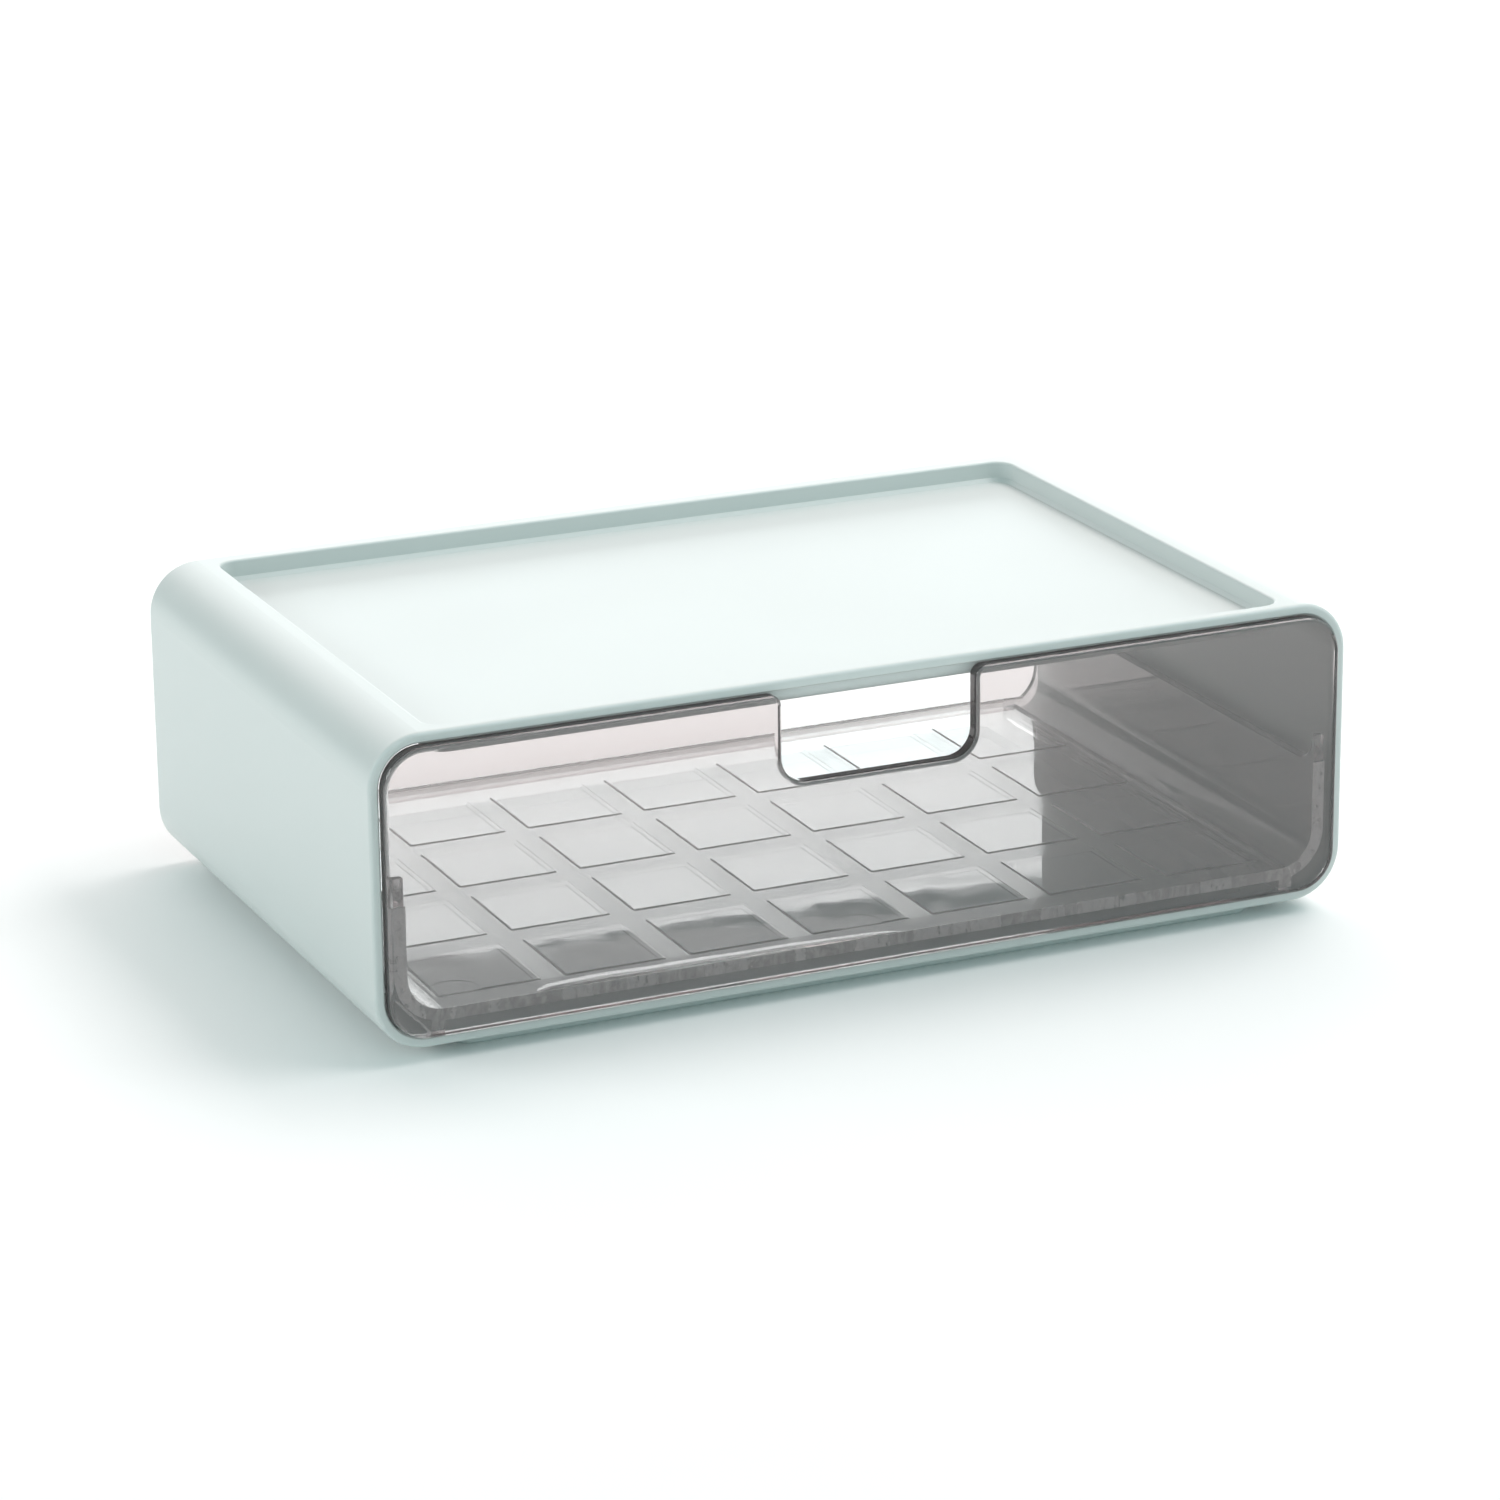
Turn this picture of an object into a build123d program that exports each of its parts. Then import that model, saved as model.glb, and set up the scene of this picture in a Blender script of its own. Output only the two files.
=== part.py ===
from build123d import *
from math import radians, tan
import os

os.makedirs("parts", exist_ok=True)

# All sizes are in millimetres. X runs along the front, Y from front to back and Z up.

# Housing tube
WIDTH = 260.0
DEPTH = 160.0
SHELL_HEIGHT = 78.0
WALL = 2.6
CORNER_R = 13.0
RIM_OUTER_R = 0.9
RIM_INNER_BEVEL = 0.4

# Stacking recess in the top
RECESS_SIDE_RIM = 16.6
RECESS_FRONT_RIM = 3.5
RECESS_BACK_RIM = 5.0
RECESS_DEPTH = 5.4
RECESS_CORNER_R = 5.0
RECESS_FLOOR_BEVEL = 1.0
RECESS_EDGE_R = 0.6
PANEL_THICKNESS = 1.3
STEP_WALL = 1.5
PAN_EDGE_R = 3.4

# Plinth pan underneath, which drops into the recess of a box below
PLINTH_HEIGHT = 3.0
PLINTH_SIDE_INSET = 22.0
PLINTH_FRONT_INSET = 4.5
PLINTH_BACK_INSET = 6.0
PLINTH_CORNER_R = 5.0
PLINTH_BEVEL = 0.6

# Drawer front panel
FRONT_THICKNESS = 4.2
FRONT_GAP = 0.35
STOP_GAP = 0.3
FRONT_EDGE_R = 1.1
NOTCH_WIDTH = 51.5
NOTCH_DEPTH = 22.5
NOTCH_BOTTOM_R = 6.5
NOTCH_TOP_R = 2.8

# Drawer tray
TRAY_SIDE_GAP = 2.8
TRAY_WALL = 2.6
TRAY_FLOOR = 2.4
TRAY_RAISE = 3.9
TRAY_CORNER_R = 12.0
TRAY_WALL_HEIGHT = 29.5
TRAY_TOP_R = 1.0
TRAY_BACK_SPACE = 5.0
TAB_RISE = 7.0
TAB_LENGTH = 2.0
TAB_SWEEP_R = 6.0
BACK_TOP_R = 5.0
LIP_HEIGHT = 1.8
LIP_THICKNESS = 2.4
LIP_EDGE_R = 1.0
RUNNER_WIDTH = 3.5
RUNNER_GAP = 0.3

# Raised pads on the tray floor, as many as fit
PAD_PITCH_X = 32.6
PAD_PITCH_Y = 34.6
PAD_WIDTH = 26.6
PAD_LENGTH = 27.2
PAD_HEIGHT = 0.5
PAD_SLOPE = 45.0
PAD_FRONT_MARGIN = 8.2

# Round moulding marks in the front row of pads
MARK_R = 6.4
MARK_DEPTH = 0.3
MARK_FROM_PAD_MIDDLE = 8.2
MARK_FROM_PAD_FRONT = 2.2

# Bonded seam between tray and front panel
BOND_THICKNESS = 0.4
BOND_SPREAD = 0.3

# Distance within which a point counts as lying on a plane or at a corner
NEAR = 0.01

# Heights
SHELL_BOTTOM = PLINTH_HEIGHT
SHELL_TOP = PLINTH_HEIGHT + SHELL_HEIGHT
SHELL_MIDDLE = PLINTH_HEIGHT + SHELL_HEIGHT / 2
FLOOR_TOP = SHELL_BOTTOM + WALL
RECESS_FLOOR = SHELL_TOP - RECESS_DEPTH
PAN_UNDERSIDE = RECESS_FLOOR - PANEL_THICKNESS
TRAY_BOTTOM = FLOOR_TOP + TRAY_RAISE
TRAY_FLOOR_TOP = TRAY_BOTTOM + TRAY_FLOOR
TRAY_TOP = TRAY_BOTTOM + TRAY_WALL_HEIGHT
LIP_TOP = TRAY_FLOOR_TOP + LIP_HEIGHT
PAD_TOP = TRAY_FLOOR_TOP + PAD_HEIGHT

# Depth positions: the origin is in the middle of the whole box with the drawer shut
PROUD = FRONT_THICKNESS + STOP_GAP - (RECESS_FRONT_RIM - STEP_WALL)
HOUSING_FRONT = PROUD / 2 - DEPTH / 2
HOUSING_BACK = HOUSING_FRONT + DEPTH
STOP_FACE = HOUSING_FRONT + RECESS_FRONT_RIM - STEP_WALL
PANEL_BACK = STOP_FACE - STOP_GAP
TRAY_FRONT = PANEL_BACK + BOND_THICKNESS
TRAY_BACK = HOUSING_BACK - TRAY_BACK_SPACE
LIP_FRONT = TRAY_BACK - LIP_THICKNESS
PAD_FRONT = TRAY_FRONT + PAD_FRONT_MARGIN

# Widths
RECESS_WIDTH = WIDTH - 2 * RECESS_SIDE_RIM
RECESS_LENGTH = DEPTH - RECESS_FRONT_RIM - RECESS_BACK_RIM
RECESS_MIDDLE = HOUSING_FRONT + RECESS_FRONT_RIM + RECESS_LENGTH / 2
PLINTH_WIDTH = WIDTH - 2 * PLINTH_SIDE_INSET
PLINTH_LENGTH = DEPTH - PLINTH_FRONT_INSET - PLINTH_BACK_INSET
PLINTH_MIDDLE = HOUSING_FRONT + PLINTH_FRONT_INSET + PLINTH_LENGTH / 2
TRAY_HALF = WIDTH / 2 - WALL - TRAY_SIDE_GAP
RUNNER_INNER = TRAY_HALF - TRAY_CORNER_R

# Pads on the flat of the floor, between the rounds of the walls and in front of the lip
PAD_COLUMNS = int((2 * RUNNER_INNER - PAD_WIDTH) / PAD_PITCH_X) + 1
PAD_ROWS = int((LIP_FRONT - PAD_FRONT - PAD_LENGTH) / PAD_PITCH_Y) + 1
LAST_COLUMN = (PAD_COLUMNS - 1) / 2 * PAD_PITCH_X
HOLLOW_INSET = TRAY_FLOOR * tan(radians(PAD_SLOPE / 2))


def across(y):
    """Upright plane across the box at depth y, from which extrusions run toward the front."""
    return Plane(origin=(0, y, 0), x_dir=(1, 0, 0), z_dir=(0, -1, 0))


def slab(width, length, radius, y_middle, bottom, top):
    """Flat block with rounded plan corners between two heights."""
    outline = Pos(0, y_middle) * RectangleRounded(width, length, radius)
    return extrude(Plane.XY.offset(bottom) * outline, top - bottom)


def tube(inset):
    """Solid rounded bar of the housing's section, taken in by inset all round."""
    section = RectangleRounded(WIDTH - 2 * inset, SHELL_HEIGHT - 2 * inset, CORNER_R - inset)
    return extrude(across(HOUSING_BACK) * Pos(0, SHELL_MIDDLE) * section, DEPTH)


def end_faces(solid):
    """The foremost and the rearmost face of a solid."""
    faces = solid.faces().sort_by(Axis.Y)
    return [faces[0], faces[-1]]


def housing_tube():
    """Open tube whose rims at both ends are rounded outside and bevelled inside."""
    bar = tube(0)
    bar = fillet([edge for face in end_faces(bar) for edge in face.edges()], RIM_OUTER_R)
    shell = bar - tube(WALL)
    inner_edges = [edge for face in end_faces(shell) for wire in face.inner_wires() for edge in wire.edges()]
    return chamfer(inner_edges, RIM_INNER_BEVEL)


def recess_pan():
    """Outside of the sunken top: its front wall is the stop behind the drawer front."""
    pan = slab(RECESS_WIDTH + 2 * STEP_WALL, RECESS_LENGTH + 2 * STEP_WALL, RECESS_CORNER_R + STEP_WALL,
               RECESS_MIDDLE, PAN_UNDERSIDE, SHELL_TOP - WALL / 2)
    return fillet(pan.faces().sort_by(Axis.Z)[0].edges(), PAN_EDGE_R)


def recess_space():
    """Hollow of the sunken top, with a small bevel along its floor."""
    space = slab(RECESS_WIDTH, RECESS_LENGTH, RECESS_CORNER_R, RECESS_MIDDLE, RECESS_FLOOR, SHELL_TOP + WALL)
    return chamfer(space.faces().sort_by(Axis.Z)[0].edges(), RECESS_FLOOR_BEVEL)


def plinth_pan():
    """Outside of the pan under the floor."""
    pan = slab(PLINTH_WIDTH, PLINTH_LENGTH, PLINTH_CORNER_R, PLINTH_MIDDLE, 0, SHELL_BOTTOM + WALL / 2)
    return chamfer(pan.faces().sort_by(Axis.Z)[0].edges(), PLINTH_BEVEL)


def plinth_space():
    """Hollow of the pan under the floor, which keeps its wall as thick as the tube's."""
    return slab(PLINTH_WIDTH - 2 * WALL, PLINTH_LENGTH - 2 * WALL, PLINTH_CORNER_R - WALL,
                PLINTH_MIDDLE, WALL, FLOOR_TOP + WALL)


def make_housing():
    body = housing_tube() + recess_pan() + plinth_pan() - recess_space() - plinth_space()
    rim = body.faces().sort_by(Axis.Z)[-1]
    return fillet(rim.inner_wires()[0].edges(), RECESS_EDGE_R)


def round_corner(outline, x, y, radius):
    """Rounds the one corner of a flat outline that lies at x, y."""
    at = [corner for corner in outline.vertices() if abs(corner.X - x) < NEAR and abs(corner.Y - y) < NEAR]
    return fillet(at, radius)


def make_drawer_front():
    """Front panel with rounded edges and the finger notch in its top edge."""
    width = WIDTH - 2 * (WALL + FRONT_GAP)
    height = SHELL_HEIGHT - 2 * (WALL + FRONT_GAP)
    top = SHELL_MIDDLE + height / 2
    notch = Pos(0, top) * Rectangle(NOTCH_WIDTH, 2 * NOTCH_DEPTH)
    outline = Pos(0, SHELL_MIDDLE) * RectangleRounded(width, height, CORNER_R - WALL - FRONT_GAP) - notch
    for side in (-1, 1):
        outline = round_corner(outline, side * NOTCH_WIDTH / 2, top - NOTCH_DEPTH, NOTCH_BOTTOM_R)
        outline = round_corner(outline, side * NOTCH_WIDTH / 2, top, NOTCH_TOP_R)
    panel = extrude(across(PANEL_BACK) * outline, FRONT_THICKNESS)
    return fillet([edge for face in end_faces(panel) for edge in face.edges()], FRONT_EDGE_R)


def u_shape(half_width, bottom, top, radius):
    """Upright outline with square top corners and rounded bottom corners."""
    outline = Pos(0, (bottom + top) / 2) * Rectangle(2 * half_width, top - bottom)
    return fillet(outline.vertices().group_by(Axis.Y)[0], radius)


def tray_section(spread, top):
    """Wall section of the tray up to a height, made thicker by spread on both sides."""
    outer = u_shape(TRAY_HALF + spread, TRAY_BOTTOM - spread, top, TRAY_CORNER_R + spread)
    inner = u_shape(TRAY_HALF - TRAY_WALL - spread, TRAY_FLOOR_TOP + spread, top,
                    TRAY_CORNER_R - TRAY_WALL - spread)
    return outer - inner


def back_lip(top):
    """Low wall across the back end of the floor."""
    half_width = TRAY_HALF - TRAY_WALL / 2
    bottom = TRAY_BOTTOM + TRAY_FLOOR / 2
    outline = u_shape(half_width, bottom, top, TRAY_CORNER_R - TRAY_WALL / 2)
    above = Pos(0, LIP_TOP + WIDTH / 2) * Rectangle(WIDTH, WIDTH)
    return extrude(across(TRAY_BACK) * (outline - above), LIP_THICKNESS)


def tray_trough():
    """Floor and lower part of the walls, closed at the back by the lip with its rounded crest."""
    split = TRAY_BOTTOM + TRAY_CORNER_R + TRAY_WALL
    trough = extrude(across(TRAY_BACK) * tray_section(0, split), TRAY_BACK - TRAY_FRONT) + back_lip(split)
    crest = [edge for edge in trough.edges().filter_by(Axis.X) if abs(edge.center().Z - LIP_TOP) < NEAR]
    return fillet(crest, LIP_EDGE_R)


def tray_side(side):
    """Upper part of one wall: its top edge sweeps up to the front panel and rounds off at the back."""
    foot = TRAY_BOTTOM + TRAY_CORNER_R
    tab_end = TRAY_FRONT + TAB_LENGTH
    tab_top = TRAY_TOP + TAB_RISE
    outline = Polygon((TRAY_FRONT, foot), (TRAY_BACK, foot), (TRAY_BACK, TRAY_TOP), (tab_end, TRAY_TOP),
                      (tab_end, tab_top), (TRAY_FRONT, tab_top), align=None)
    outline = round_corner(outline, tab_end, TRAY_TOP, TAB_SWEEP_R)
    outline = round_corner(outline, TRAY_BACK, TRAY_TOP, BACK_TOP_R)
    inner_x = side * (TRAY_HALF - TRAY_WALL / 2) - TRAY_WALL / 2
    wall = extrude(Plane.YZ.offset(inner_x) * outline, TRAY_WALL)
    rounded = [edge for face in wall.faces().filter_by(Axis.X) for edge in face.edges()
               if TRAY_TOP - BACK_TOP_R < edge.center().Z < tab_top - NEAR
               and edge.center().Y > TRAY_FRONT + NEAR]
    return fillet(rounded, TRAY_TOP_R)


def on_pad_grid(shape, height):
    """Copies of a shape in the rows and columns of the pads, at one height."""
    copies = []
    for column in range(PAD_COLUMNS):
        for row in range(PAD_ROWS):
            x = column * PAD_PITCH_X - LAST_COLUMN
            y = PAD_FRONT + PAD_LENGTH / 2 + row * PAD_PITCH_Y
            copies.append(Pos(x, y, height) * shape)
    return copies


def tray_pads():
    """Raised square pads on the floor."""
    pad = extrude(Rectangle(PAD_WIDTH, PAD_LENGTH), PAD_HEIGHT, taper=PAD_SLOPE)
    return on_pad_grid(pad, TRAY_FLOOR_TOP)


def tray_hollows():
    """Hollows under the pads, which keep the floor as thick there as between them."""
    outline = Rectangle(PAD_WIDTH - 2 * HOLLOW_INSET, PAD_LENGTH - 2 * HOLLOW_INSET)
    return on_pad_grid(extrude(outline, PAD_HEIGHT, taper=PAD_SLOPE), TRAY_BOTTOM)


def tray_marks():
    """Three shallow round marks along the front row of pads."""
    marks = []
    for side in (-1, 0, 1):
        place = Pos(side * (LAST_COLUMN + MARK_FROM_PAD_MIDDLE), PAD_FRONT + MARK_FROM_PAD_FRONT, PAD_TOP)
        marks.append(place * Cylinder(MARK_R, 2 * MARK_DEPTH))
    return marks


def runner(side):
    """Rib under the floor, on which the drawer slides."""
    bottom = FLOOR_TOP + RUNNER_GAP
    top = TRAY_BOTTOM + TRAY_FLOOR / 2
    length = TRAY_BACK - TRAY_FRONT
    x = side * (RUNNER_INNER + RUNNER_WIDTH / 2)
    return Pos(x, (TRAY_FRONT + TRAY_BACK) / 2, (bottom + top) / 2) * Box(RUNNER_WIDTH, length, top - bottom)


def make_drawer_tray():
    tray = tray_trough()
    for side in (-1, 1):
        tray = tray + tray_side(side) + runner(side)
    tray = tray + tray_pads() - tray_hollows()
    return tray - tray_marks()


def make_drawer_bond():
    """Thin seam between the tray's end and the front panel, a little wider than the tray's walls."""
    section = tray_section(BOND_SPREAD, TRAY_TOP)
    foot = SHELL_BOTTOM + WALL + FRONT_GAP + FRONT_EDGE_R
    block = Rectangle(RUNNER_WIDTH, TRAY_BOTTOM + TRAY_FLOOR / 2 - foot)
    for side in (-1, 1):
        x = side * (RUNNER_INNER + RUNNER_WIDTH / 2)
        section = section + Pos(x, (TRAY_BOTTOM + TRAY_FLOOR / 2 + foot) / 2) * block
    return extrude(across(TRAY_FRONT) * section, BOND_THICKNESS)


export_step(make_housing(), "parts/housing.step")
export_step(make_drawer_tray(), "parts/drawer_tray.step")
export_step(make_drawer_front(), "parts/drawer_front.step")
export_step(make_drawer_bond(), "parts/drawer_bond.step")
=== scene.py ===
import math

import bmesh
import bpy
from mathutils import Matrix, Vector


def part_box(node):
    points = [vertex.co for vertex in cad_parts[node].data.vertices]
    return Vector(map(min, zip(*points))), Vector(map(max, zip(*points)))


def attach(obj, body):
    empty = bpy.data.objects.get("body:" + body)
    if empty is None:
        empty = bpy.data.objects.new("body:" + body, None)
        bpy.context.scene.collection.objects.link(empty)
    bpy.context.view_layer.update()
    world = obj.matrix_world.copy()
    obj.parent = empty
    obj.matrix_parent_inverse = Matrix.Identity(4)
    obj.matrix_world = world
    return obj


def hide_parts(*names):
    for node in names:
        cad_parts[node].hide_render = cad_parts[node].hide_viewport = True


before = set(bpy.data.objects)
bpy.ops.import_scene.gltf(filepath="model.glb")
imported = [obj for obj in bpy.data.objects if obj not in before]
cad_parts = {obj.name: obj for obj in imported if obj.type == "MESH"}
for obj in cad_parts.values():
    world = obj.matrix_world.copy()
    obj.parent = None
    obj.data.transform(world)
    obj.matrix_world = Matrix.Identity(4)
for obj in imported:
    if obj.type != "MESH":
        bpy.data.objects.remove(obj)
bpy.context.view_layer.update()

# Camera, at the photograph's place
CAMERA_AZIMUTH = math.radians(24.21)
CAMERA_ELEVATION = math.radians(18.22)
CAMERA_ROLL = math.radians(0.553)
CAMERA_AIM = Vector((0.00616, 0.00885, 0.03313))
CAMERA_DISTANCE = 1.3695
CAMERA_LENS = 127.86
CAMERA_SENSOR = 36.0

# Floor
FLOOR_SIZE = 14.0
FLOOR_COLOUR = (0.97, 0.97, 0.965, 1)
FLOOR_ROUGHNESS = 0.9
FLOOR_GLOSS = 0.1

# Surroundings: their colour, the way to their brightest side, and their strength on the dim and bright sides
AMBIENT_COLOUR = (0.73, 1, 1, 1)
AMBIENT_AXIS = Vector((0.6, -0.8, 0))
DIM_STRENGTH = 0.06
BRIGHT_STRENGTH = 0.77

# Softboxes: their distance, and the radiance of each in red, green and blue
SOFTBOX_DISTANCE = 2.2
BACK_RADIANCE = (2.85, 3.05, 3.05)
BACK_FILL_RADIANCE = (0.66, 0.66, 0.66)
LEFT_RADIANCE = (3.75, 4.0, 4.0)
RIGHT_RADIANCE = (4.2, 3.95, 3.95)
TOP_RADIANCE = (0.9, 0.66, 0.65)
BACK_TOP_RADIANCE = (1.2, 0.75, 0.75)

# Light passes many walls of clear plastic before it ends
CLEAR_BOUNCES = 64

# Shell plastic: colour, how much darker its clouds are, and the fineness of clouds and grain per metre
MINT = (0.645, 0.685, 0.673)
MINT_CLOUD_SHADE = 0.972
MINT_CLOUDS = 9.0
MINT_GRAIN = 2600.0
MINT_GRAIN_DEPTH = 0.00003
MINT_ROUGHNESS = (0.36, 0.46)
MINT_IOR = 1.5
MINT_GLOSS = 0.5

# Drawer plastic: share that is clear, what is lost in a metre in each colour, and the tint of each face
SMOKE_IOR = 1.57
SMOKE_WAVES = 38.0
SMOKE_WAVE_DEPTH = 0.0006
SMOKE_HAZE = 160.0
SMOKE_ROUGHNESS = (0.0, 0.03)
PANEL_CLEARNESS = 0.95
PANEL_LOSS = (28, 34, 34)
PANEL_TINT = (0.87, 0.835, 0.835, 1)
TRAY_CLEARNESS = 0.85
TRAY_LOSS = (2, 3, 3)
TRAY_TINT = (0.895, 0.89, 0.89, 1)

# Heights of the tray's floor, and the strips of it without pads
TRAY_FLOOR_BOTTOM = 0.0095
TRAY_FLOOR_TOP = 0.0119
PAD_SIDE_STRIP = 0.0126
PAD_FRONT_STRIP = 0.0082

# Share of their height that the pads and the hollows under them keep, and the height that is theirs
PAD_SHARE = 0.4
PAD_REACH = 0.0008

# Matt slopes of the pads, between a flat and an upright face by the vertical part of the normal
SLOPE_ROUGHNESS = 0.8
SLOPE_TO_FLAT = (0.85, 0.99)
UPRIGHT_TO_SLOPE = (0.3, 0.6)

# Half-matt grooves between the pads
GROOVE_ROUGHNESS = 0.1
GROOVE_BAND = 0.00005

# Rounding of the tray's moulded edges
SOFT_EDGE = 0.0002
SOFT_EDGE_ANGLE = math.radians(18)
SOFT_EDGE_SEGMENTS = 3
WELD_DISTANCE = 1e-6
FLAT_ANGLE = math.radians(0.5)
FLAT_FACE_WEIGHT = 100

# Frosted seam: share of its slit that it fills, and its bubbles, slanted streaks and blocks per metre
BOND_SHARE = 0.7
BOND_BUBBLES = 480.0
BOND_STREAKS = (620.0, 1.0, 170.0)
BOND_STREAK_TURN = (0.0, 0.7, 0.0)
BOND_BLOCKS = (60.0, 1.0, 1.0)
BOND_BLOCK_EDGE = (0.49, 0.51)
BOND_BLOCK_SHADE = 0.06
BOND_DARK = (0.6, 0.59, 0.59, 1)
BOND_LIGHT = (1, 1, 1, 1)
BOND_ROUGHNESS = (0.2, 0.6)
BOND_PRESSED_ROUGHNESS = 0.4
BOND_DEPTH = 0.0005
BOND_CLEARNESS = 0.35
BOND_IOR = 1.45

# Low swell of squeezed-out bond on the tray's floor behind the panel
BEAD_STARTS = -0.089
BEAD_ENDS = 0.008
BEAD_STEPS = 96
BEAD_ROWS = 16
BEAD_WIDTH = 0.0078
BEAD_NARROWEST = BEAD_WIDTH / 50
BEAD_TAPER = 0.45
BEAD_END_POWER = 6
BEAD_WAVE = 0.06
BEAD_RISE = 0.00034
BEAD_CLEARANCE = 0.00001
BEAD_COLOUR = (0.97, 0.96, 0.96, 1)
BEAD_RIPPLES = 90.0
BEAD_RIPPLE_DEPTH = 0.0005
BEAD_ROUGHNESS = (0.0, 0.04)


def make_camera():
    """Camera that looks at the box from the front left, turned a little about its own axis."""
    forward = Vector((math.sin(CAMERA_AZIMUTH) * math.cos(CAMERA_ELEVATION),
                      math.cos(CAMERA_AZIMUTH) * math.cos(CAMERA_ELEVATION),
                      -math.sin(CAMERA_ELEVATION)))
    right = Vector((math.cos(CAMERA_AZIMUTH), -math.sin(CAMERA_AZIMUTH), 0))
    up = right.cross(forward)
    turned_right = right * math.cos(CAMERA_ROLL) - up * math.sin(CAMERA_ROLL)
    turned_up = right * math.sin(CAMERA_ROLL) + up * math.cos(CAMERA_ROLL)
    data = bpy.data.cameras.new("camera")
    data.lens = CAMERA_LENS
    data.sensor_width = CAMERA_SENSOR
    camera = bpy.data.objects.new("camera", data)
    turn = Matrix((turned_right, turned_up, -forward)).transposed().to_4x4()
    camera.matrix_world = Matrix.Translation(CAMERA_AIM - forward * CAMERA_DISTANCE) @ turn
    bpy.context.scene.collection.objects.link(camera)
    bpy.context.scene.camera = camera


class Nodes:
    """Short way to add and link shader nodes."""

    def __init__(self, tree):
        self.tree = tree
        self.shader = tree.nodes.get("Principled BSDF")
        self.output = tree.nodes.get("Material Output")

    def add(self, kind, **inputs):
        node = self.tree.nodes.new("ShaderNode" + kind)
        for name, value in inputs.items():
            self.set(node.inputs[name], value)
        return node

    def set(self, socket, value):
        if isinstance(value, bpy.types.NodeSocket):
            self.tree.links.new(value, socket)
        else:
            socket.default_value = value

    def place(self):
        return self.add("TexCoord").outputs["Object"]

    def noise(self, place, scale, detail=3.0, roughness=0.5, distortion=0.0):
        return self.add("TexNoise", Vector=place, Scale=scale, Detail=detail, Roughness=roughness,
                        Distortion=distortion).outputs["Fac"]

    def remap(self, value, low, high, from_low=0.0, from_high=1.0):
        node = self.add("MapRange", Value=value)
        node.inputs["From Min"].default_value = from_low
        node.inputs["From Max"].default_value = from_high
        node.inputs["To Min"].default_value = low
        node.inputs["To Max"].default_value = high
        return node.outputs["Result"]

    def math(self, operation, first, second=0.0):
        node = self.add("Math")
        node.operation = operation
        self.set(node.inputs[0], first)
        self.set(node.inputs[1], second)
        return node.outputs["Value"]

    def stretch(self, place, scale, turn=(0.0, 0.0, 0.0)):
        return self.add("Mapping", Vector=place, Scale=scale, Rotation=turn).outputs["Vector"]

    def bump(self, height, distance, strength=1.0):
        return self.add("Bump", Height=height, Distance=distance, Strength=strength).outputs["Normal"]

    def ramp(self, value, stops):
        node = self.add("ValToRGB", Fac=value)
        for element, (position, colour) in zip(node.color_ramp.elements, stops):
            element.position = position
            element.color = colour
        return node.outputs["Color"]


def new_material(name):
    """Plain node material and the place to build it in."""
    material = bpy.data.materials.new(name)
    material.use_nodes = True
    return material, Nodes(material.node_tree)


def mint_material():
    """Satin moulded plastic: a fine sparked grain, faint flow clouds and uneven gloss."""
    material, nodes = new_material("mint_plastic")
    place = nodes.place()
    clouds = nodes.noise(place, MINT_CLOUDS, detail=4.0, roughness=0.55, distortion=0.6)
    grain = nodes.noise(place, MINT_GRAIN, detail=2.0)
    darker = tuple(MINT_CLOUD_SHADE * channel for channel in MINT) + (1,)
    colour = nodes.ramp(clouds, ((0.3, darker), (0.7, MINT + (1,))))
    shader = nodes.shader
    nodes.set(shader.inputs["Base Color"], colour)
    gloss = nodes.remap(clouds, *MINT_ROUGHNESS, from_low=0.25, from_high=0.75)
    nodes.set(shader.inputs["Roughness"], gloss)
    nodes.set(shader.inputs["Normal"], nodes.bump(grain, MINT_GRAIN_DEPTH, strength=0.35))
    shader.inputs["IOR"].default_value = MINT_IOR
    shader.inputs["Specular IOR Level"].default_value = MINT_GLOSS
    return material


def smoke_material(name, clearness, tint, loss):
    """Polished clear plastic with a smoky tint inside and slow waves from moulding."""
    material, nodes = new_material(name)
    place = nodes.place()
    waves = nodes.noise(place, SMOKE_WAVES, detail=2.0, roughness=0.4)
    haze = nodes.noise(place, SMOKE_HAZE)
    shader = nodes.shader
    shader.inputs["Base Color"].default_value = tint
    shader.inputs["Transmission Weight"].default_value = clearness
    shader.inputs["IOR"].default_value = SMOKE_IOR
    polish = nodes.remap(haze, *SMOKE_ROUGHNESS, from_low=0.35, from_high=0.75)
    nodes.set(shader.inputs["Roughness"], polish)
    nodes.set(shader.inputs["Normal"], nodes.bump(waves, SMOKE_WAVE_DEPTH, strength=0.04))
    density = 2.0 * max(loss)
    kept = tuple(1 - channel / density for channel in loss) + (1,)
    absorption = nodes.add("VolumeAbsorption", Color=kept, Density=density)
    nodes.set(nodes.output.inputs["Volume"], absorption.outputs["Volume"])
    return material


def pads_half_width():
    """Distance from the middle of the tray to the end of its rows of pads."""
    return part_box("drawer_tray")[1][0] - PAD_SIDE_STRIP


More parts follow.
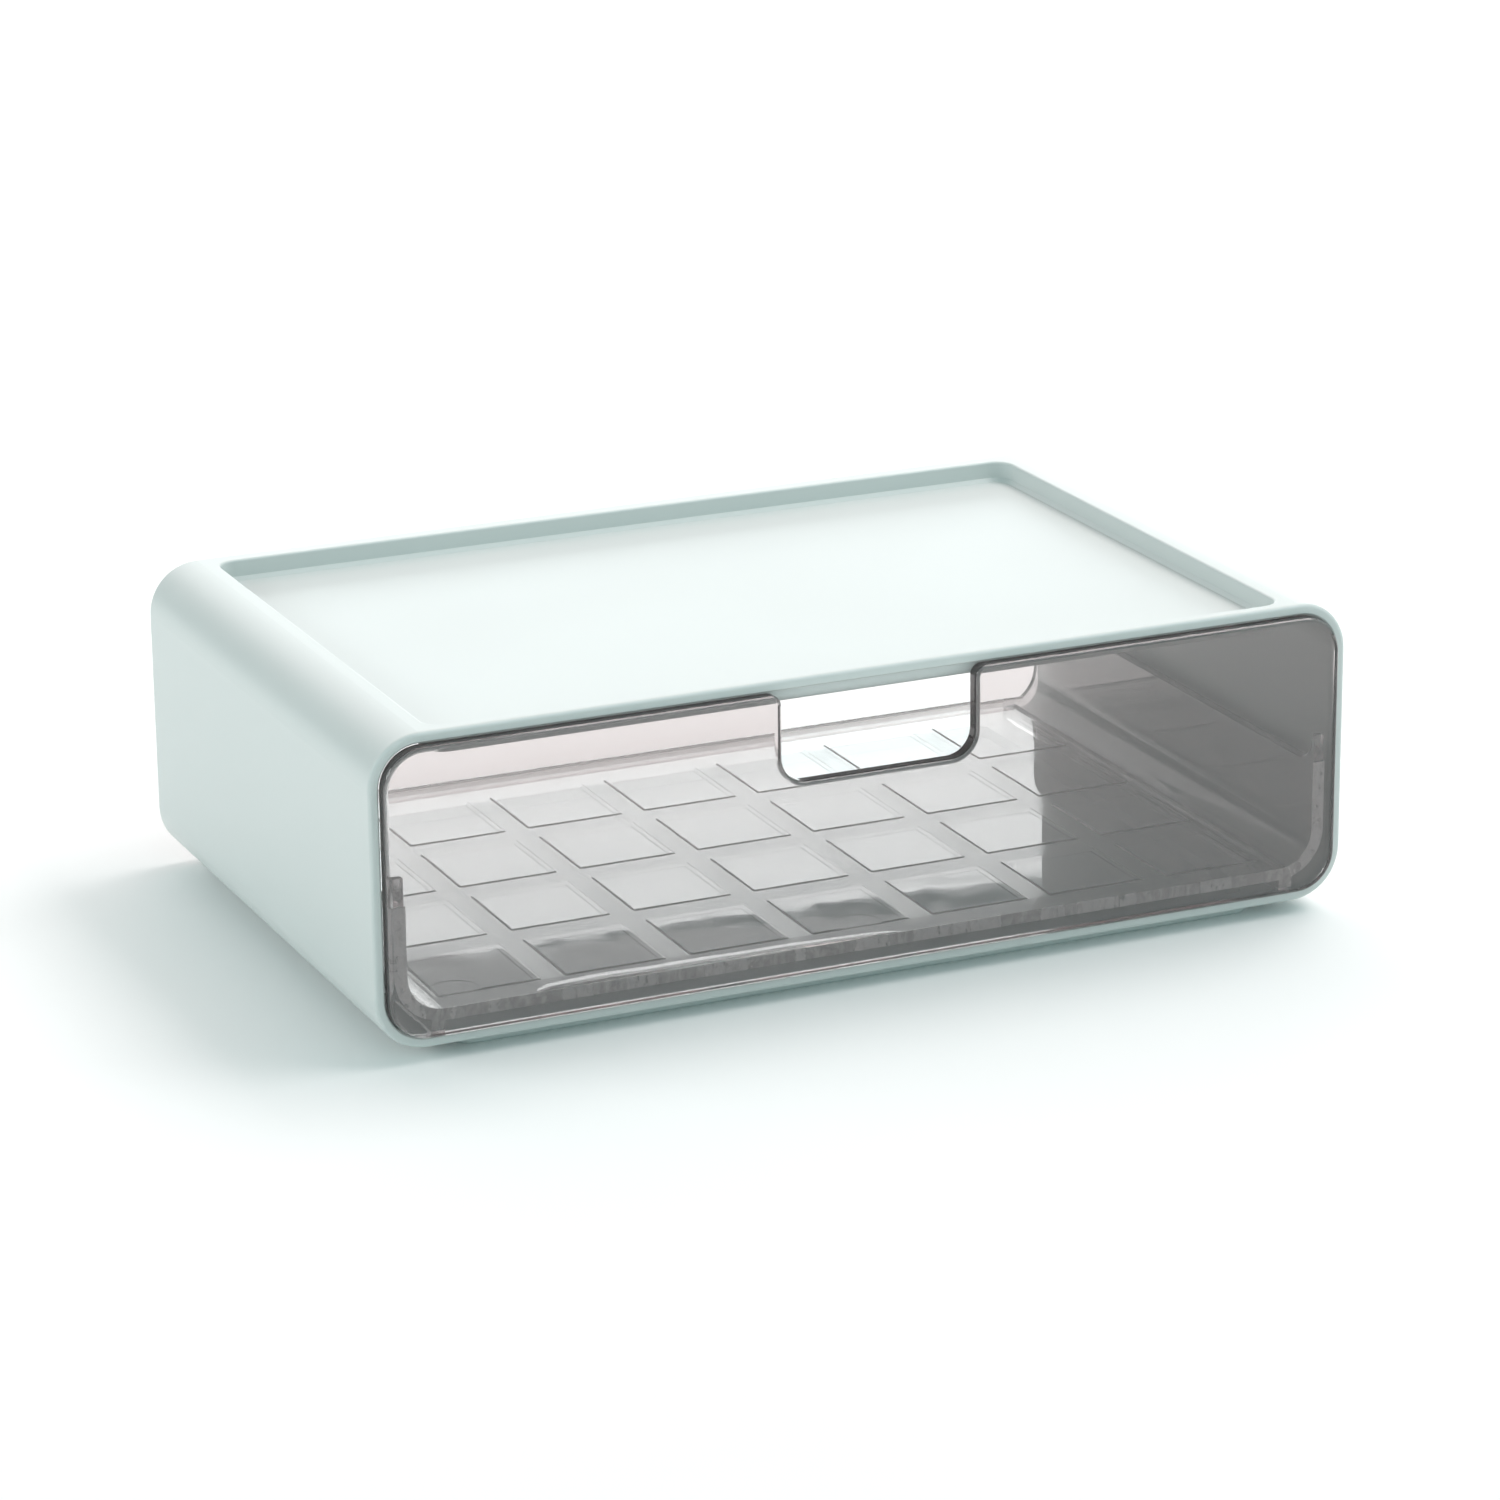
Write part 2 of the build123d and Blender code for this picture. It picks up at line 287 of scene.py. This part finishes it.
def tray_material():
    """Smoky plastic with matt slopes round the pads and half-matt grooves between them."""
    material = smoke_material("smoke_tray", TRAY_CLEARNESS, TRAY_TINT, TRAY_LOSS)
    nodes = Nodes(material.node_tree)
    normal = nodes.add("NewGeometry").outputs["True Normal"]
    lift = nodes.math("ABSOLUTE", nodes.add("SeparateXYZ", Vector=normal).outputs["Z"])
    not_flat = nodes.remap(lift, 1.0, 0.0, *SLOPE_TO_FLAT)
    not_upright = nodes.remap(lift, 0.0, 1.0, *UPRIGHT_TO_SLOPE)
    slope = nodes.math("MULTIPLY", nodes.math("MINIMUM", not_flat, not_upright), SLOPE_ROUGHNESS)
    place = nodes.add("SeparateXYZ", Vector=nodes.place()).outputs
    above_floor = nodes.math("ABSOLUTE", nodes.math("SUBTRACT", place["Z"], TRAY_FLOOR_TOP))
    on_floor = nodes.math("LESS_THAN", above_floor, GROOVE_BAND)
    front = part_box("drawer_tray")[0][1]
    past_front = nodes.math("GREATER_THAN", place["Y"], front + PAD_FRONT_STRIP)
    groove = nodes.math("MULTIPLY", nodes.math("MULTIPLY", on_floor, past_front), GROOVE_ROUGHNESS)
    across = nodes.math("ABSOLUTE", place["X"])
    among_pads = nodes.math("LESS_THAN", across, pads_half_width())
    added = nodes.math("MULTIPLY", nodes.math("MAXIMUM", slope, groove), among_pads)
    polished = nodes.shader.inputs["Roughness"].links[0].from_socket
    nodes.set(nodes.shader.inputs["Roughness"], nodes.math("ADD", polished, added))
    return material


def bond_material():
    """Frosted seam: milky, with bubbles, slanted streaks and blocks where it was pressed thinner."""
    material, nodes = new_material("bond_frost")
    place = nodes.place()
    bubbles = nodes.noise(place, BOND_BUBBLES, detail=5.0, roughness=0.65, distortion=1.6)
    streaks = nodes.noise(nodes.stretch(place, BOND_STREAKS, BOND_STREAK_TURN), 1.0)
    blocks = nodes.noise(nodes.stretch(place, BOND_BLOCKS), 1.0, detail=1.0)
    pressed = nodes.remap(blocks, 0.0, 1.0, *BOND_BLOCK_EDGE)
    mottle = nodes.math("MULTIPLY", nodes.math("ADD", bubbles, streaks), 0.5)
    shade = nodes.math("ADD", mottle, nodes.remap(pressed, -BOND_BLOCK_SHADE, BOND_BLOCK_SHADE))
    shader = nodes.shader
    nodes.set(shader.inputs["Base Color"], nodes.ramp(shade, ((0.38, BOND_DARK), (0.58, BOND_LIGHT))))
    frosted = nodes.remap(mottle, *BOND_ROUGHNESS, from_low=0.35, from_high=0.65)
    smoother = nodes.remap(pressed, BOND_PRESSED_ROUGHNESS, 1.0)
    nodes.set(shader.inputs["Roughness"], nodes.math("MULTIPLY", frosted, smoother))
    nodes.set(shader.inputs["Normal"], nodes.bump(mottle, BOND_DEPTH))
    shader.inputs["Transmission Weight"].default_value = BOND_CLEARNESS
    shader.inputs["IOR"].default_value = BOND_IOR
    return material


def bead_material():
    """Clear set resin with slow ripples."""
    material, nodes = new_material("bead_resin")
    ripple = nodes.noise(nodes.place(), BEAD_RIPPLES, detail=2.0)
    shader = nodes.shader
    shader.inputs["Base Color"].default_value = BEAD_COLOUR
    shader.inputs["Transmission Weight"].default_value = 1.0
    shader.inputs["IOR"].default_value = SMOKE_IOR
    polish = nodes.remap(ripple, *BEAD_ROUGHNESS, from_low=0.3, from_high=0.7)
    nodes.set(shader.inputs["Roughness"], polish)
    nodes.set(shader.inputs["Normal"], nodes.bump(ripple, BEAD_RIPPLE_DEPTH, strength=0.1))
    return material


def dress(piece, material):
    """Gives every face of a piece one material."""
    piece.data.materials.clear()
    piece.data.materials.append(material)


def add_piece(name, mesh):
    """New piece of the scene with the mesh given."""
    piece = bpy.data.objects.new(name, mesh)
    bpy.context.scene.collection.objects.link(piece)
    return piece


def settle_pads(work):
    """Flattens the pads, the marks on them and the hollows, which makes their slopes shallow."""
    half = pads_half_width()
    for vertex in work.verts:
        for level in (TRAY_FLOOR_BOTTOM, TRAY_FLOOR_TOP):
            height = vertex.co.z - level
            if 0 < height < PAD_REACH and abs(vertex.co.x) < half:
                vertex.co.z = level + height * PAD_SHARE


def tray_copy():
    """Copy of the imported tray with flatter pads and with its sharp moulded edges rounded."""
    mesh = bpy.data.meshes.new("tray_soft")
    work = bmesh.new()
    work.from_mesh(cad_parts["drawer_tray"].data)
    bmesh.ops.remove_doubles(work, verts=work.verts, dist=WELD_DISTANCE)
    bmesh.ops.dissolve_limit(work, angle_limit=FLAT_ANGLE, verts=work.verts, edges=work.edges)
    settle_pads(work)
    for face in work.faces:
        face.smooth = True
    work.to_mesh(mesh)
    work.free()
    piece = add_piece("tray_soft", mesh)
    bevel = piece.modifiers.new("soft edges", "BEVEL")
    bevel.width = SOFT_EDGE
    bevel.segments = SOFT_EDGE_SEGMENTS
    bevel.limit_method = "ANGLE"
    bevel.angle_limit = SOFT_EDGE_ANGLE
    flatter = piece.modifiers.new("flat faces", "WEIGHTED_NORMAL")
    flatter.weight = FLAT_FACE_WEIGHT
    return piece


def bond_copy():
    """Copy of the seam, a little thinner than its slit so that no two faces share a plane."""
    low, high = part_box("drawer_bond")
    middle = (low[1] + high[1]) / 2
    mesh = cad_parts["drawer_bond"].data.copy()
    mesh.name = "bond_frost"
    for vertex in mesh.vertices:
        vertex.co.y = middle + (vertex.co.y - middle) * BOND_SHARE
    return add_piece("bond_frost", mesh)


def bead_width(share):
    """Width of the bead at a share of its length: rounded ends, narrower to the right, with slow waves."""
    ends = math.sqrt(max(0.0, 1 - abs(2 * share - 1) ** BEAD_END_POWER))
    waves = 1 - BEAD_WAVE + BEAD_WAVE * math.cos(9 * share) * math.cos(17 * share + 1)
    return BEAD_WIDTH * ends * waves * (1 - BEAD_TAPER * share)


def bead_row(work, share):
    """Cross-section of the bead at a share of its length: flat underneath, swelling on top."""
    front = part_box("drawer_tray")[0][1] + BEAD_CLEARANCE
    bottom = TRAY_FLOOR_TOP + BEAD_CLEARANCE
    x = BEAD_STARTS + (BEAD_ENDS - BEAD_STARTS) * share
    width = max(bead_width(share), BEAD_NARROWEST)
    rise = BEAD_RISE * width / BEAD_WIDTH
    row = [work.verts.new((x, front, bottom))]
    for part in range(BEAD_ROWS + 1):
        run = part / BEAD_ROWS
        height = BEAD_CLEARANCE + rise * math.sin(math.pi * run) ** 2
        row.append(work.verts.new((x, front + width * run, bottom + height)))
    row.append(work.verts.new((x, front + width, bottom)))
    return row


def resin_bead():
    """Low rounded bead along the foot of the panel."""
    work = bmesh.new()
    rows = [bead_row(work, step / BEAD_STEPS) for step in range(BEAD_STEPS + 1)]
    for near, far in zip(rows, rows[1:]):
        for index in range(len(near)):
            following = (index + 1) % len(near)
            work.faces.new((near[index], near[following], far[following], far[index]))
    work.faces.new(rows[0])
    work.faces.new(list(reversed(rows[-1])))
    bmesh.ops.recalc_face_normals(work, faces=work.faces)
    mesh = bpy.data.meshes.new("resin_bead")
    work.to_mesh(mesh)
    work.free()
    mesh.shade_smooth()
    return add_piece("resin_bead", mesh)


def make_floor():
    """Wide pale floor."""
    bpy.ops.mesh.primitive_plane_add(size=FLOOR_SIZE)
    floor = bpy.context.object
    floor.name = "floor"
    material, nodes = new_material("floor_paper")
    nodes.shader.inputs["Base Color"].default_value = FLOOR_COLOUR
    nodes.shader.inputs["Roughness"].default_value = FLOOR_ROUGHNESS
    nodes.shader.inputs["Specular IOR Level"].default_value = FLOOR_GLOSS
    dress(floor, material)


def add_softbox(name, azimuth, elevation, size, radiance, shift=0.0):
    """Soft light that faces the box: azimuth turns from the back to the right, shift moves it sideways."""
    turn = math.radians(azimuth)
    lift = math.radians(elevation)
    towards = Vector((math.sin(turn) * math.cos(lift), math.cos(turn) * math.cos(lift), math.sin(lift)))
    data = bpy.data.lights.new(name, "AREA")
    data.shape = "RECTANGLE"
    data.size, data.size_y = size
    strongest = max(radiance)
    data.color = [channel / strongest for channel in radiance]
    data.energy = strongest * math.pi * size[0] * size[1]
    light = bpy.data.objects.new(name, data)
    sideways = Vector((math.cos(turn), -math.sin(turn), 0))
    light.location = towards * SOFTBOX_DISTANCE + sideways * shift
    light.rotation_euler = towards.to_track_quat("Z", "Y").to_euler()
    light.visible_camera = False
    bpy.context.scene.collection.objects.link(light)


def make_surroundings():
    """World that is dim behind the box and brightest at its front right."""
    world = bpy.data.worlds.new("studio")
    world.use_nodes = True
    nodes = Nodes(world.node_tree)
    facing = nodes.add("VectorMath")
    facing.operation = "DOT_PRODUCT"
    nodes.set(facing.inputs[0], nodes.add("TexCoord").outputs["Generated"])
    facing.inputs[1].default_value = AMBIENT_AXIS
    strength = nodes.remap(facing.outputs["Value"], DIM_STRENGTH, BRIGHT_STRENGTH, from_low=-1.0)
    background = nodes.tree.nodes["Background"]
    nodes.set(background.inputs["Strength"], strength)
    background.inputs["Color"].default_value = AMBIENT_COLOUR
    bpy.context.scene.world = world


def make_light():
    """Surroundings, and softboxes behind, above and at both sides of the box."""
    make_surroundings()
    add_softbox("back_light", azimuth=4, elevation=11, size=(2.2, 0.85), radiance=BACK_RADIANCE, shift=0.8)
    add_softbox("back_fill_light", azimuth=10, elevation=28, size=(3.4, 0.5), radiance=BACK_FILL_RADIANCE)
    add_softbox("left_light", azimuth=-80, elevation=23, size=(2.4, 0.7), radiance=LEFT_RADIANCE)
    add_softbox("right_light", azimuth=90, elevation=58, size=(2.0, 1.1), radiance=RIGHT_RADIANCE)
    add_softbox("top_light", azimuth=60, elevation=72, size=(1.6, 1.4), radiance=TOP_RADIANCE)
    add_softbox("back_top_light", azimuth=10, elevation=48, size=(2.0, 1.0), radiance=BACK_TOP_RADIANCE)


def main():
    """Studio first, then each piece with its material."""
    scene = bpy.context.scene
    scene.view_settings.view_transform = "Standard"
    scene.cycles.max_bounces = CLEAR_BOUNCES
    scene.cycles.transmission_bounces = CLEAR_BOUNCES
    scene.cycles.glossy_bounces = CLEAR_BOUNCES
    make_camera()
    make_floor()
    make_light()
    dress(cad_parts["housing"], mint_material())
    panel_smoke = smoke_material("smoke_panel", PANEL_CLEARNESS, PANEL_TINT, PANEL_LOSS)
    dress(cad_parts["drawer_front"], panel_smoke)
    bond = bond_copy()
    dress(bond, bond_material())
    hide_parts("drawer_bond")
    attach(bond, "drawer")
    tray = tray_copy()
    dress(tray, tray_material())
    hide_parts("drawer_tray")
    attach(tray, "drawer")
    bead = resin_bead()
    dress(bead, bead_material())
    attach(bead, "drawer")


main()
